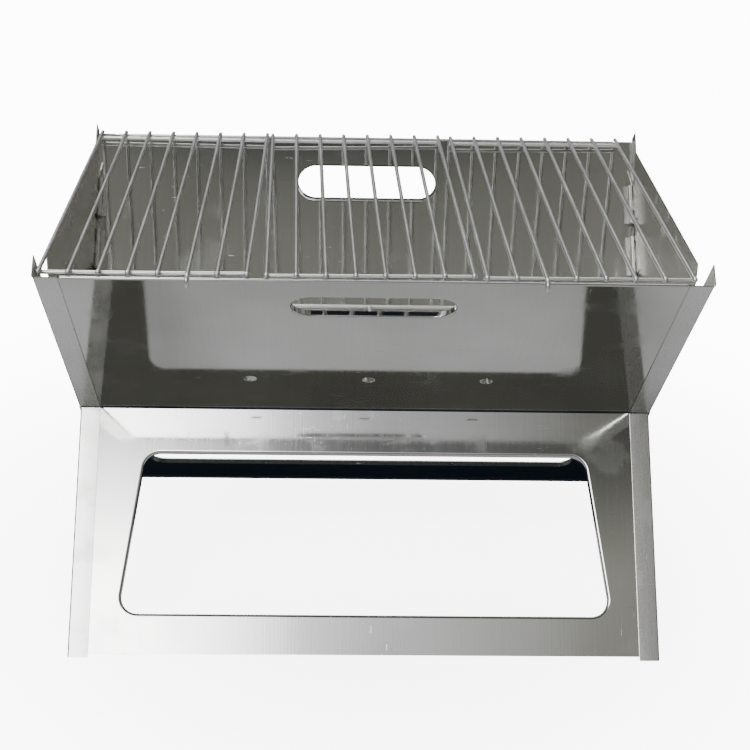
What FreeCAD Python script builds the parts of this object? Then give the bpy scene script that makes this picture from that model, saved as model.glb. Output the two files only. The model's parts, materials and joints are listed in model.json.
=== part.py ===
"""Folding camp grill: two crossed sheet frames on side pivots, a V-shaped bowl above, legs below.

Frame A carries the front bowl panel and, below the pivot, the rear leg panel. Frame B carries the
rear bowl panel and the front leg panel. Each frame is drawn flat, in its own coordinates: x across,
s along the frame upwards from the pivot axis, w through its thickness. Units are millimetres.
"""
import FreeCAD, Part
import math
import os

V = FreeCAD.Vector

# Driving dimensions of the frames
WIDTH = 450.0            # outside of the outer rails
LEAN = 41.4              # each frame's angle from vertical when set up, degrees
PIVOT_Z = 145.8          # height of the pivot axis
RIM_S = 232.5            # pivot axis to rim, along the frame
HORN = 3.0               # how far a rail's web stands past the rim
RAIL_DEPTH = 15.0        # depth of a rail's web
RAIL_T = 0.8             # thickness of the rail's sheet
LIP_WIDTH = 16.5         # visible width of a rail's lip
SHEET_T = 0.6            # thickness of the four panels
WAIST_S = 7.2            # panels and lips start this far from the pivot axis
LEG_SHEET_S = 197.8      # pivot axis to the lower edge of a leg panel
RAIL_GAP = 0.4           # between an outer rail's web and an inner one's
FOLD_CLEARANCE = 0.3     # between a web and the panel it closes onto
RELIEF_PAST_WAIST = 3.0  # the inner web is cut narrower from this far inside the waist
RAIL_BLANK_S = 230.0     # a rail is drawn this long below the pivot, then cut at the ground

# Panel openings
SLOT_HALF = 56.5
SLOT_LOW_S = 176.6
SLOT_HIGH_S = 205.9
SLOT_FLANGE = 4.0        # inward flanges, from the panel's inner face
CUT_FLANGE = 4.5
FLANGE_T = 0.6
VENT_RADIUS = 4.8
VENT_PITCH = 89.0
VENT_S = 65.4
HEM_RADIUS = 1.2
HEM_W = 6.6
CUT_TOP_S = 42.6
FRONT_CUT_BOTTOM_S = 167.6
REAR_CUT_BOTTOM_S = 145.7
CUT_TOP_HALF = 171.2
CUT_FLARE = 0.1312       # how much a cut-out's half-width grows per millimetre downwards
CUT_CORNER = 13.0

# Pivots
RIVET_RADIUS = 2.5
RIVET_RUNNING_GAP = 0.05
RIVET_HEAD_RADIUS = 5.0
RIVET_HEAD = 1.5
RIVET_HEAD_TOP_RADIUS = 3.5
RIVET_TAIL_RADIUS = 4.0
RIVET_TAIL = 1.0
WASHER_RADIUS = 6.0
WASHER_T = 0.3

# End plates and their hinges
PLATE_T = 0.8
PLATE_OUTER_X = 222.3
PLATE_OUTLINE = [(-118.0, 315.0), (-118.0, 300.8), (-30.0, 195.8), (14.0, 181.8)]
PLATE_REAR_TOP = (132.0, 315.0)
PLATE_REAR_W = 4.5       # rear edge, off the frame's middle plane
PLATE_REAR_LOW_S = 46.0
PLATE_REAR_HIGH_S = 192.0
PLATE_CLEARANCE = 0.3    # between the end plate and the fixed knuckles
HINGE_X = 219.0
HINGE_W = -3.4
HINGE_LENGTH = 33.0
HINGE_CENTRES = {"upper": 174.5, "lower": 129.5}
BARREL_RADIUS = 2.2
PIN_RADIUS = 1.2
PIN_RUNNING_GAP = 0.05
LEAF_T = 0.8
LEAF_BACK_W = 5.8        # back of the fixed leaf, off the frame's middle plane
FRAME_LEAF_REACH = 5.5
PLATE_LEAF_REACH = 13.0
KNUCKLE = 11.0
KNUCKLE_GAP = 0.3

# Cooking grid
ROD_RADIUS = 1.5
ROD_TIP_RADIUS = 1.9
ROD_Z = 317.9
ROD_FRONT_Y = -154.9
ROD_REAR_Y = 157.5
RODS_PER_SECTION = 8
WIRE_FRONT_Y = -148.5
WIRE_REAR_Y = 149.0
WIRE_OVERHANG = 2.0
HOOK_BEND = 4.6
HOOK_BEND_Y = -157.6
HOOK_END_Z = 311.6
# section: first rod's x at mid-length, pitch, skew in plan (degrees), which rod is the hook
GRID_SECTIONS = {
    "left": (-220.5, 19.51, -0.34, 5),
    "middle": (-75.25, 19.65, 1.21, None),
    "right": (71.65, 19.78, 0.80, 2),
}

# Charcoal grate
GRATE_X = 2.5            # the grate lies a little to one side
GRATE_Z = 205.0
GRATE_HALF_Y = 57.6
GRATE_HALF_X = 211.0
GRATE_FRAME_RADIUS = 1.75
GRATE_WIRE_RADIUS = 1.5
GRATE_BAR_PITCH = 19.2
GRATE_CROSS_PITCH = 102.0

HALF_DEPTH = RAIL_DEPTH / 2.0
OUTER_X = WIDTH / 2.0
INNER_X = OUTER_X - RAIL_T - RAIL_GAP
LIP_INNER_W = HALF_DEPTH - RAIL_T
SHEET_INNER_W = LIP_INNER_W - SHEET_T
FRAME_A = FreeCAD.Placement(V(0, 0, PIVOT_Z), FreeCAD.Rotation(V(1, 0, 0), 90.0 + LEAN))
FRAME_B = FreeCAD.Placement(V(0, 0, PIVOT_Z), FreeCAD.Rotation(V(1, 0, 0), 90.0 - LEAN))


def block(x0, x1, s0, s1, w0, w1):
    """A box between two values on each axis, in either order."""
    low = V(min(x0, x1), min(s0, s1), min(w0, w1))
    return Part.makeBox(abs(x1 - x0), abs(s1 - s0), abs(w1 - w0), low)


def placed(shape, frame):
    """The shape moved from a frame's own coordinates to where it stands."""
    moved = shape.copy()
    moved.Placement = frame
    return moved


def prism(points, direction):
    """A closed outline pushed along a direction."""
    return Part.Face(Part.makePolygon(points + points[:1])).extrude(direction)


def above_ground(shape):
    """The shape with everything below the ground plane cut away."""
    ground = Part.makeBox(2 * WIDTH, 2 * WIDTH, WIDTH, V(-WIDTH, -WIDTH, -WIDTH))
    return shape.cut(ground)


def rounded_outline(corners, radius, offset=0.0):
    """A wire round convex corners with arcs, grown outwards by offset."""
    count = len(corners)
    tangents = []
    for i in range(count):
        here = V(corners[i][0], corners[i][1], 0)
        back = (V(corners[i - 1][0], corners[i - 1][1], 0) - here).normalize()
        ahead = corners[(i + 1) % count]
        on = (V(ahead[0], ahead[1], 0) - here).normalize()
        half_angle = back.getAngle(on) / 2.0
        centre = here + (back + on).normalize() * (radius / math.sin(half_angle))
        run = radius / math.tan(half_angle)
        start = here + back * run
        end = here + on * run
        grow = (radius + offset) / radius
        outward = (here - centre).normalize()
        tangents.append((
            centre + (start - centre) * grow,
            centre + outward * (radius + offset),
            centre + (end - centre) * grow,
        ))
    edges = []
    for i in range(count):
        start, mid, end = tangents[i]
        edges.append(Part.Arc(start, mid, end).toShape())
        following = tangents[(i + 1) % count][0]
        if (following - end).Length > 1e-6:
            edges.append(Part.LineSegment(end, following).toShape())
    return Part.Wire(Part.__sortEdges__(edges))


def slab_from(wire, w0, w1):
    """The flat face inside a wire, between two depths."""
    face = Part.Face(wire)
    face.translate(V(0, 0, min(w0, w1)))
    return face.extrude(V(0, 0, abs(w1 - w0)))


def slot_corners():
    """The handle slot as a rectangle whose corners are rounded to half its height."""
    return [
        (-SLOT_HALF, SLOT_LOW_S),
        (SLOT_HALF, SLOT_LOW_S),
        (SLOT_HALF, SLOT_HIGH_S),
        (-SLOT_HALF, SLOT_HIGH_S),
    ]


def cut_out_corners(bottom_s):
    """The trapezium cut out of a leg panel, down to a distance below the pivot."""
    bottom_half = CUT_TOP_HALF + CUT_FLARE * (bottom_s - CUT_TOP_S)
    return [
        (-bottom_half, -bottom_s),
        (bottom_half, -bottom_s),
        (CUT_TOP_HALF, -CUT_TOP_S),
        (-CUT_TOP_HALF, -CUT_TOP_S),
    ]


def flanged_opening(panel, corners, radius, side, depth):
    """A panel with an opening whose edge is turned inwards by depth."""
    inner = rounded_outline(corners, radius)
    outer = rounded_outline(corners, radius, FLANGE_T)
    through = slab_from(inner, side * (SHEET_INNER_W - 2 * depth), side * 2 * HALF_DEPTH)
    flange = slab_from(outer, side * (SHEET_INNER_W - depth), side * SHEET_INNER_W)
    return panel.fuse(flange).cut(through).removeSplitter()


def bowl_panel(half_width, side):
    """An upper panel: handle slot, vent holes and a rolled hem along the rim."""
    hem_s = RIM_S - HEM_RADIUS
    panel = block(-half_width, half_width, WAIST_S, hem_s,
                  side * SHEET_INNER_W, side * LIP_INNER_W)
    hem_half = OUTER_X - LIP_WIDTH - RAIL_T
    hem = Part.makeCylinder(HEM_RADIUS, 2 * hem_half, V(-hem_half, hem_s, side * HEM_W),
                            V(1, 0, 0))
    panel = panel.fuse(hem)
    slot_radius = (SLOT_HIGH_S - SLOT_LOW_S) / 2.0
    panel = flanged_opening(panel, slot_corners(), slot_radius, side, SLOT_FLANGE)
    for column in (-1, 0, 1):
        vent = Part.makeCylinder(VENT_RADIUS, 2 * RAIL_DEPTH,
                                 V(column * VENT_PITCH, VENT_S, -RAIL_DEPTH), V(0, 0, 1))
        panel = panel.cut(vent)
    return panel


def leg_panel(half_width, side, cut_bottom_s):
    """A lower panel with its trapezium cut-out."""
    panel = block(-half_width, half_width, -WAIST_S, -LEG_SHEET_S,
                  side * SHEET_INNER_W, side * LIP_INNER_W)
    return flanged_opening(panel, cut_out_corners(cut_bottom_s), CUT_CORNER, side, CUT_FLANGE)


def rail(hand, web_x, upper_side, bore_radius, closes_on_panel):
    """A side rail: one web from foot to horn, an upper lip on one side and a lower lip on the other."""
    web = block(hand * web_x, hand * (web_x - RAIL_T),
                -RAIL_BLANK_S, RIM_S + HORN, -HALF_DEPTH, HALF_DEPTH)
    if closes_on_panel:
        relief_w = SHEET_INNER_W - FOLD_CLEARANCE
        relief_start = WAIST_S - RELIEF_PAST_WAIST
        for half in (1, -1):
            free_side = -half * upper_side
            web = web.cut(block(hand * (web_x + RAIL_T), hand * (web_x - 2 * RAIL_T), half * relief_start,
                                half * 2 * RIM_S, free_side * relief_w, free_side * RAIL_DEPTH))
    lip_inner_x = OUTER_X - LIP_WIDTH
    upper_lip = block(hand * web_x, hand * lip_inner_x, WAIST_S, RIM_S,
                      upper_side * LIP_INNER_W, upper_side * HALF_DEPTH)
    lower_lip = block(hand * web_x, hand * lip_inner_x, -WAIST_S, -RAIL_BLANK_S,
                      -upper_side * LIP_INNER_W, -upper_side * HALF_DEPTH)
    bore = Part.makeCylinder(bore_radius, 4 * RAIL_T,
                             V(hand * web_x - 2 * RAIL_T, 0, 0), V(1, 0, 0))
    return web.fuse([upper_lip, lower_lip]).removeSplitter().cut(bore)


def pivot_rivet(hand):
    """A shouldered rivet through both webs, with a low conical head outside and a flat one inside."""
    axis = V(hand, 0, 0)
    inner_face = INNER_X - RAIL_T
    start = V(hand * inner_face, 0, PIVOT_Z)
    shank = Part.makeCylinder(RIVET_RADIUS, OUTER_X + RIVET_RUNNING_GAP - inner_face, start, axis)
    head_start = V(hand * (OUTER_X + RIVET_RUNNING_GAP), 0, PIVOT_Z)
    head = Part.makeCone(RIVET_HEAD_RADIUS, RIVET_HEAD_TOP_RADIUS, RIVET_HEAD, head_start, axis)
    tail = Part.makeCylinder(RIVET_TAIL_RADIUS, RIVET_TAIL, start, axis * -1)
    return shank.fuse([head, tail]).removeSplitter()


def pivot_washer(hand):
    """A thin washer on the rivet, between the two webs."""
    start = V(hand * (INNER_X + (RAIL_GAP - WASHER_T) / 2.0), 0, PIVOT_Z)
    axis = V(hand, 0, 0)
    disc = Part.makeCylinder(WASHER_RADIUS, WASHER_T, start, axis)
    hole = Part.makeCylinder(RIVET_RADIUS + RIVET_RUNNING_GAP, WASHER_T, start, axis)
    return disc.cut(hole)


def frame_b_point(s, w):
    """The y and z of a point given in frame B's own s and w."""
    point = FRAME_B.multVec(V(0, s, w))
    return point.y, point.z


def end_plate(hand):
    """The sheet that closes one end of the bowl, its rear edge along the rear panel."""
    outline = [PLATE_REAR_TOP] + PLATE_OUTLINE
    outline.append(frame_b_point(PLATE_REAR_LOW_S, -PLATE_REAR_W))
    outline.append(frame_b_point(PLATE_REAR_HIGH_S, -PLATE_REAR_W))
    x = hand * PLATE_OUTER_X
    return prism([V(x, y, z) for y, z in outline], V(-hand * PLATE_T, 0, 0))


def knuckle(hand, start_s, length):
    """One rolled knuckle of a hinge barrel."""
    start = V(hand * HINGE_X, start_s, HINGE_W)
    along = V(0, 1, 0)
    barrel = Part.makeCylinder(BARREL_RADIUS, length, start, along)
    return barrel, Part.makeCylinder(PIN_RADIUS + PIN_RUNNING_GAP, length, start, along)


def frame_leaf(hand, centre_s):
    """The hinge leaf that lies on the rear bowl panel, with the two end knuckles."""
    low = centre_s - HINGE_LENGTH / 2.0
    high = low + HINGE_LENGTH
    leaf = block(hand * HINGE_X, hand * (HINGE_X - FRAME_LEAF_REACH), low, high,
                 -LEAF_BACK_W, -LEAF_BACK_W + LEAF_T)
    relief = block(hand * (HINGE_X + BARREL_RADIUS), hand * (HINGE_X - BARREL_RADIUS - KNUCKLE_GAP),
                   low + KNUCKLE, high - KNUCKLE, -RAIL_DEPTH, RAIL_DEPTH)
    leaf = leaf.cut(relief)
    for start in (low, high - KNUCKLE):
        barrel, bore = knuckle(hand, start, KNUCKLE)
        leaf = leaf.fuse(barrel).cut(bore)
    return leaf.removeSplitter()


def plate_leaf(hand, centre_s):
    """The hinge leaf that lies on the end plate, with the middle knuckle."""
    low = centre_s - HINGE_LENGTH / 2.0
    high = low + HINGE_LENGTH
    face_x = HINGE_X + BARREL_RADIUS + PLATE_CLEARANCE
    middle_low = low + KNUCKLE + KNUCKLE_GAP
    middle_length = HINGE_LENGTH - 2 * (KNUCKLE + KNUCKLE_GAP)
    leaf = block(hand * face_x, hand * (face_x - LEAF_T), low, high,
                 HINGE_W + BARREL_RADIUS + 2 * KNUCKLE_GAP, HINGE_W + PLATE_LEAF_REACH)
    tongue = block(hand * face_x, hand * (face_x - LEAF_T), middle_low,
                   middle_low + middle_length, HINGE_W, HINGE_W + PLATE_LEAF_REACH)
    barrel, bore = knuckle(hand, middle_low, middle_length)
    return leaf.fuse([tongue, barrel]).cut(bore).removeSplitter()


def hinge_pin(hand, centre_s):
    """The pin through one hinge."""
    start = V(hand * HINGE_X, centre_s - HINGE_LENGTH / 2.0, HINGE_W)
    return Part.makeCylinder(PIN_RADIUS, HINGE_LENGTH, start, V(0, 1, 0))


def straight_rod(x):
    """A grid rod with a rounded front tip, along y."""
    rod = Part.makeCylinder(ROD_RADIUS, ROD_REAR_Y - ROD_FRONT_Y,
                            V(x, ROD_FRONT_Y, ROD_Z), V(0, 1, 0))
    tip = Part.makeSphere(ROD_TIP_RADIUS, V(x, ROD_FRONT_Y, ROD_Z))
    return rod.fuse(tip).removeSplitter()


def hook_rod(x):
    """A grid rod that runs on over the front rim and turns down outside it."""
    rod = Part.makeCylinder(ROD_RADIUS, ROD_REAR_Y - HOOK_BEND_Y,
                            V(x, HOOK_BEND_Y, ROD_Z), V(0, 1, 0))
    centre = V(x, HOOK_BEND_Y, ROD_Z - HOOK_BEND)
    section = Part.Face(Part.Wire(Part.makeCircle(ROD_RADIUS, V(x, HOOK_BEND_Y, ROD_Z), V(0, 1, 0))))
    bend = section.revolve(centre, V(1, 0, 0), 90.0)
    leg_y = HOOK_BEND_Y - HOOK_BEND
    leg_top = ROD_Z - HOOK_BEND
    leg = Part.makeCylinder(ROD_RADIUS, leg_top - HOOK_END_Z, V(x, leg_y, HOOK_END_Z), V(0, 0, 1))
    end = Part.makeSphere(ROD_RADIUS, V(x, leg_y, HOOK_END_Z))
    return rod.fuse([bend, leg, end]).removeSplitter()


def grid_section(first_x, pitch, skew, hook):
    """The rods and the two cross wires of one grid section, turned a little in plan."""
    xs = [first_x + pitch * i for i in range(RODS_PER_SECTION)]
    centre = V((xs[0] + xs[-1]) / 2.0, 0, 0)
    rods = [straight_rod(x) for i, x in enumerate(xs) if i != hook]
    pieces = {"rods": rods}
    if hook is not None:
        pieces["hook_rod"] = [hook_rod(xs[hook])]
    length = xs[-1] - xs[0] + 2 * WIRE_OVERHANG
    for name, y in (("front_wire", WIRE_FRONT_Y), ("rear_wire", WIRE_REAR_Y)):
        start = V(xs[0] - WIRE_OVERHANG, y, ROD_Z - 2 * ROD_RADIUS)
        pieces[name] = [Part.makeCylinder(ROD_RADIUS, length, start, V(1, 0, 0))]
    for solids in pieces.values():
        for solid in solids:
            solid.rotate(centre, V(0, 0, 1), skew)
    return pieces


def grate_long_wire(y, z, radius):
    """A wire of the charcoal grate that runs across the grill."""
    return Part.makeCylinder(radius, 2 * GRATE_HALF_X, V(GRATE_X - GRATE_HALF_X, y, z), V(1, 0, 0))


def grate_cross_wires():
    """Short wires set between the front and rear wires of the grate."""
    half = GRATE_HALF_Y - GRATE_FRAME_RADIUS
    wires = []
    for column in range(-2, 3):
        start = V(GRATE_X + column * GRATE_CROSS_PITCH, -half, GRATE_Z)
        wires.append(Part.makeCylinder(GRATE_WIRE_RADIUS, 2 * half, start, V(0, 1, 0)))
    return wires


def grate_bars():
    """The long bars under the cross wires that hold the charcoal."""
    z = GRATE_Z - 2 * GRATE_WIRE_RADIUS
    return [grate_long_wire(row * GRATE_BAR_PITCH, z, GRATE_WIRE_RADIUS) for row in range(-2, 3)]


def frame_parts():
    """Both folding frames: four panels and four rails."""
    outer_half = OUTER_X - RAIL_T
    inner_half = INNER_X - RAIL_T
    nodes = {
        "front_bowl_panel": placed(bowl_panel(outer_half, 1), FRAME_A),
        "rear_leg_panel": placed(leg_panel(outer_half, -1, REAR_CUT_BOTTOM_S), FRAME_A),
        "rear_bowl_panel": placed(bowl_panel(inner_half, -1), FRAME_B),
        "front_leg_panel": placed(leg_panel(inner_half, 1, FRONT_CUT_BOTTOM_S), FRAME_B),
    }
    running = RIVET_RADIUS + RIVET_RUNNING_GAP
    for side_name, hand in (("left", -1), ("right", 1)):
        outer = placed(rail(hand, OUTER_X, 1, running, False), FRAME_A)
        inner = placed(rail(hand, INNER_X, -1, RIVET_RADIUS, True), FRAME_B)
        nodes["outer_rail_" + side_name] = above_ground(outer)
        nodes["inner_rail_" + side_name] = above_ground(inner)
    return nodes


def end_parts():
    """Pivots, end plates and hinges, left and right."""
    nodes = {}
    for side_name, hand in (("left", -1), ("right", 1)):
        nodes["pivot_rivet_" + side_name] = pivot_rivet(hand)
        nodes["pivot_washer_" + side_name] = pivot_washer(hand)
        nodes["end_plate_" + side_name] = end_plate(hand)
        for level, centre_s in HINGE_CENTRES.items():
            name = side_name + "_" + level + "_hinge_"
            nodes[name + "frame_leaf"] = placed(frame_leaf(hand, centre_s), FRAME_B)
            nodes[name + "plate_leaf"] = placed(plate_leaf(hand, centre_s), FRAME_B)
            nodes[name + "pin"] = placed(hinge_pin(hand, centre_s), FRAME_B)
    return nodes


def grid_parts():
    """The three lift-off sections of the cooking grid, and the charcoal grate."""
    nodes = {}
    for section, sizes in GRID_SECTIONS.items():
        for piece, solids in grid_section(*sizes).items():
            nodes["grid_" + section + "_" + piece] = Part.makeCompound(solids)
    nodes["grate_front_wire"] = grate_long_wire(-GRATE_HALF_Y, GRATE_Z, GRATE_FRAME_RADIUS)
    nodes["grate_rear_wire"] = grate_long_wire(GRATE_HALF_Y, GRATE_Z, GRATE_FRAME_RADIUS)
    nodes["grate_cross_wires"] = Part.makeCompound(grate_cross_wires())
    nodes["grate_bars"] = Part.makeCompound(grate_bars())
    return nodes


def main():
    """Write every sub-part to its own STEP file."""
    os.makedirs("parts", exist_ok=True)
    nodes = {}
    nodes.update(frame_parts())
    nodes.update(end_parts())
    nodes.update(grid_parts())
    for name, shape in nodes.items():
        assert shape.isValid() and shape.Solids, name
        shape.exportStep("parts/" + name + ".step")
    print(len(nodes), "nodes written")


main()
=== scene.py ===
"""Folding camp grill in rolled stainless sheet and wire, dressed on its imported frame."""
import json
import logging
import math
from collections.abc import Callable
from dataclasses import dataclass, field
from enum import Enum

import bmesh
import bpy
import numpy as np
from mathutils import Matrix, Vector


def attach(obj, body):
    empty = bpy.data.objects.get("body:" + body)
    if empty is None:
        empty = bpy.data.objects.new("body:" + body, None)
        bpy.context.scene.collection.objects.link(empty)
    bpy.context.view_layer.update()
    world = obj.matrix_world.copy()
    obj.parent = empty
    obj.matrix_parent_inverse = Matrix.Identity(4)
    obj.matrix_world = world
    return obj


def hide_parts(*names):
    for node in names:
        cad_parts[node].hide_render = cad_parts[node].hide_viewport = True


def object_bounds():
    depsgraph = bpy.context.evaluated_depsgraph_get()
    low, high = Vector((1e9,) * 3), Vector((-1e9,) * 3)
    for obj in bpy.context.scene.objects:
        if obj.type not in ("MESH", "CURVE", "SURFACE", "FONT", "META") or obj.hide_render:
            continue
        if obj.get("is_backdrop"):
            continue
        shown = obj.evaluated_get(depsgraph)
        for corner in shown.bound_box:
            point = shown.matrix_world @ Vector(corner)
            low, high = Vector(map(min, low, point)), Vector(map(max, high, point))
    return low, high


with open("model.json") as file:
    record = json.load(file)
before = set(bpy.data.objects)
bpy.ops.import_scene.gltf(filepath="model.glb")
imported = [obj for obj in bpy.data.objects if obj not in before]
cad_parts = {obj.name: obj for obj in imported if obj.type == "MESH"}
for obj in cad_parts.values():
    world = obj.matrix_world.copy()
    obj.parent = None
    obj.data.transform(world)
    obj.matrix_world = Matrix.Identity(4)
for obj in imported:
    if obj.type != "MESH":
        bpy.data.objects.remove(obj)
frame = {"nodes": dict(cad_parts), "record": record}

log = logging.getLogger("grill")

MM = 0.001
PIVOT_Z = 145.8 * MM
LEAN_DEG = 41.4
WAIST_S = 7.2 * MM
RIM_S = 232.5 * MM
HORN_S = 235.5 * MM
HALF_DEPTH = 7.5 * MM
RAIL_T = 0.8 * MM
SHEET_T = 0.6 * MM
LIP_INNER_W = HALF_DEPTH - RAIL_T
SHEET_INNER_W = LIP_INNER_W - SHEET_T
LIP_EDGE_X = 208.5 * MM
HEM_RADIUS = 1.2 * MM
CROSSING_BEAD = (1.5 * MM, 1.5 * MM, 0.7 * MM)

FULL_TURN = 2.0 * math.pi
QUARTER_TURN = math.pi / 2.0
DOME_POINTS = 7
BEND_POINTS = 14
RUN_POINTS = 24
VENT_POINTS = 64
TINY = 1e-12
ALONG_X = np.array([1.0, 0.0, 0.0])
ALONG_Z = np.array([0.0, 0.0, 1.0])

# The Mix node's sockets when it blends colours.
MIX_AMOUNT, MIX_LOW, MIX_HIGH, MIX_RESULT = 0, 6, 7, 2


class Body(Enum):
    """The bodies that dressed pieces ride on."""

    FRONT = "front_frame"
    REAR = "rear_frame"
    GRATE = "grate"
    GRID_LEFT = "grid_left"
    GRID_MIDDLE = "grid_middle"
    GRID_RIGHT = "grid_right"


class Slot(Enum):
    """The record's material slots."""

    PANEL = "panel_steel"
    RAIL = "rail_steel"
    PLATE = "plate_steel"
    HINGE = "hinge_steel"
    RIVET = "rivet_steel"
    GRID = "grid_wire"
    GRATE = "grate_wire"


# ---------------------------------------------------------------- shader maths

class Value:
    """A number that varies over a surface, with arithmetic that adds Math nodes."""

    def __init__(self, graph: "Graph", socket: bpy.types.NodeSocket) -> None:
        """Wrap a socket.

        Args:
            graph: The graph the socket belongs to.
            socket: The output socket that carries the number.
        """
        self.graph = graph
        self.socket = socket

    def _math(self, operation: str, first: object, second: object) -> "Value":
        """Add one Math node and return its result."""
        made = self.graph.node("ShaderNodeMath", {"operation": operation}, {0: first, 1: second})
        return made.value()

    def __add__(self, other: object) -> "Value":
        """Sum."""
        return self._math("ADD", self, other)

    def __radd__(self, other: object) -> "Value":
        """Sum, reflected."""
        return self._math("ADD", other, self)

    def __sub__(self, other: object) -> "Value":
        """Difference."""
        return self._math("SUBTRACT", self, other)

    def __rsub__(self, other: object) -> "Value":
        """Difference, reflected."""
        return self._math("SUBTRACT", other, self)

    def __mul__(self, other: object) -> "Value":
        """Product."""
        return self._math("MULTIPLY", self, other)

    def __rmul__(self, other: object) -> "Value":
        """Product, reflected."""
        return self._math("MULTIPLY", other, self)

    def band(self, low: float, high: float) -> "Value":
        """Zero below low, one above high, smooth between.

        Args:
            low: Value where the result starts to rise.
            high: Value where the result reaches one.

        Returns:
            The smoothed step.
        """
        made = self.graph.node(
            "ShaderNodeMapRange", {"interpolation_type": "SMOOTHSTEP"},
            {"Value": self, "From Min": low, "From Max": high})
        return made.value("Result")


class Made:
    """A node just added, from which results are read."""

    def __init__(self, graph: "Graph", node: bpy.types.Node) -> None:
        """Keep the node and its graph."""
        self.graph = graph
        self.node = node

    def value(self, name: object = 0) -> Value:
        """One output as a Value."""
        return Value(self.graph, self.node.outputs[name])


class Graph:
    """A node tree that takes expressions."""

    def __init__(self, tree: bpy.types.NodeTree, shader: str) -> None:
        """Wrap a tree.

        Args:
            tree: The node tree of a material or of the room.
            shader: The name of its shader node.
        """
        self.tree = tree
        self.shader = tree.nodes[shader]

    @classmethod
    def material(cls, name: str) -> tuple:
        """A new material and its graph, with only a Principled shader."""
        made = bpy.data.materials.new(name)
        made.use_nodes = True
        return made, cls(made.node_tree, "Principled BSDF")

    def node(self, kind: str, settings: dict, inputs: dict) -> Made:
        """Add any node.

        Args:
            kind: The node's Blender type.
            settings: Attributes, set before the sockets.
            inputs: Socket name or index to a number, tuple or Value.

        Returns:
            The node added.
        """
        node = self.tree.nodes.new(kind)
        for key, setting in settings.items():
            setattr(node, key, setting)
        for key, given in inputs.items():
            self.feed(node.inputs[key], given)
        return Made(self, node)

    def feed(self, socket: bpy.types.NodeSocket, given: object) -> None:
        """Link a Value to a socket, or set the socket to a constant."""
        if isinstance(given, Value):
            self.tree.links.new(given.socket, socket)
        else:
            socket.default_value = given

    def place(self, scale: tuple, turn: tuple = (0.0, 0.0, 0.0)) -> Value:
        """Object coordinates, stretched and turned.

        Args:
            scale: Pattern repeats per metre on each axis.
            turn: Rotation of the pattern in radians.

        Returns:
            The coordinates.
        """
        here = self.node("ShaderNodeTexCoord", {}, {}).value("Object")
        return self.node("ShaderNodeMapping", {}, {"Vector": here, "Scale": scale, "Rotation": turn}).value()

    def noise(self, scale: tuple, detail: float = 3.0, turn: tuple = (0.0, 0.0, 0.0)) -> Value:
        """Soft noise, mostly between 0.3 and 0.7.

        Args:
            scale: Pattern repeats per metre on each axis.
            detail: Octaves of finer noise.
            turn: Rotation of the pattern in radians.

        Returns:
            The noise.
        """
        made = self.node("ShaderNodeTexNoise", {}, {
            "Vector": self.place(scale, turn), "Scale": 1.0, "Detail": detail, "Roughness": 0.55})
        return made.value("Fac")

    def mix(self, amount: object, low: object, high: object, blend: str = "MIX") -> Value:
        """A colour between two, or one tinted by the other.

        Args:
            amount: Zero for low, one for high.
            low: The first colour, as a tuple or a Value.
            high: The second colour, as a tuple or a Value.
            blend: How the second is laid on the first.

        Returns:
            The colour.
        """
        low, high = (c if isinstance(c, Value) else (*c, 1.0) for c in (low, high))
        made = self.node("ShaderNodeMix", {"data_type": "RGBA", "blend_type": blend},
                         {MIX_AMOUNT: amount, MIX_LOW: low, MIX_HIGH: high})
        return made.value(MIX_RESULT)

    def ramp(self, amount: Value, stops: tuple) -> Value:
        """Colours along a value that runs from -1 to 1.

        Args:
            amount: The value.
            stops: Pairs of a position and the colour there, in order.

        Returns:
            The colour.
        """
        made = self.node("ShaderNodeValToRGB", {}, {0: amount * 0.5 + 0.5})
        elements = made.node.color_ramp.elements
        while len(elements) < len(stops):
            elements.new(1.0)
        for element, (position, colour) in zip(elements, stops):
            element.position = (position + 1.0) / 2.0
            element.color = (*colour, 1.0)
        return made.value(0)


@dataclass(frozen=True)
class Steel:
    """Rolled or drawn steel with grain, handling marks and fine scratches."""

    name: str
    light: tuple
    dark: tuple
    roughness: float
    grain: tuple
    grain_rough: float = 0.05
    grain_bump: float = 0.08
    smudge: float = 0.10
    waviness: float = 0.0
    scratch: float = 0.04

    def make(self) -> bpy.types.Material:
        """Build the material.

        Returns:
            The material, ready to assign.
        """
        material, g = Graph.material(self.name)
        grain = g.noise(self.grain, 4.0)
        broad = g.noise((9.0, 9.0, 9.0), 2.0)
        smear = g.noise((26.0, 34.0, 34.0), 5.0, (0.4, 0.7, 0.3)).band(0.52, 0.68)
        speck = g.noise((420.0, 420.0, 420.0), 2.0).band(0.66, 0.74)
        lines = self.scratches(g)
        tone = broad.band(0.3, 0.7) * 0.55 + grain * 0.45
        g.feed(g.shader.inputs["Base Color"], g.mix(tone - lines * 0.25, self.dark, self.light))
        rough = (grain - 0.5) * self.grain_rough * 2.0 + smear * self.smudge + self.roughness
        g.feed(g.shader.inputs["Roughness"], rough + lines * 0.12 + speck * 0.06)
        height = grain * self.grain_bump + lines * (-0.3) + speck * (-0.05)
        if self.waviness:
            height = height + g.noise((11.0, 7.0, 7.0), 1.0) * self.waviness
        bump = g.node("ShaderNodeBump", {}, {"Strength": 0.25, "Distance": 0.0004, "Height": height})
        g.feed(g.shader.inputs["Normal"], bump.value("Normal"))
        g.shader.inputs["Metallic"].default_value = 1.0
        return material

    def scratches(self, g: Graph) -> Value:
        """Sparse hairlines in two directions: noise ridges kept only where a broad mask allows."""
        one = g.noise((60.0, 900.0, 900.0), 1.0, (0.0, 0.35, 0.5)).band(0.72, 0.76)
        two = g.noise((900.0, 50.0, 50.0), 1.0, (0.2, -0.5, 0.3)).band(0.73, 0.77)
        where = g.noise((14.0, 14.0, 14.0), 2.0).band(0.5, 0.62)
        return (one + two) * where * (self.scratch * 10.0)


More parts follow.
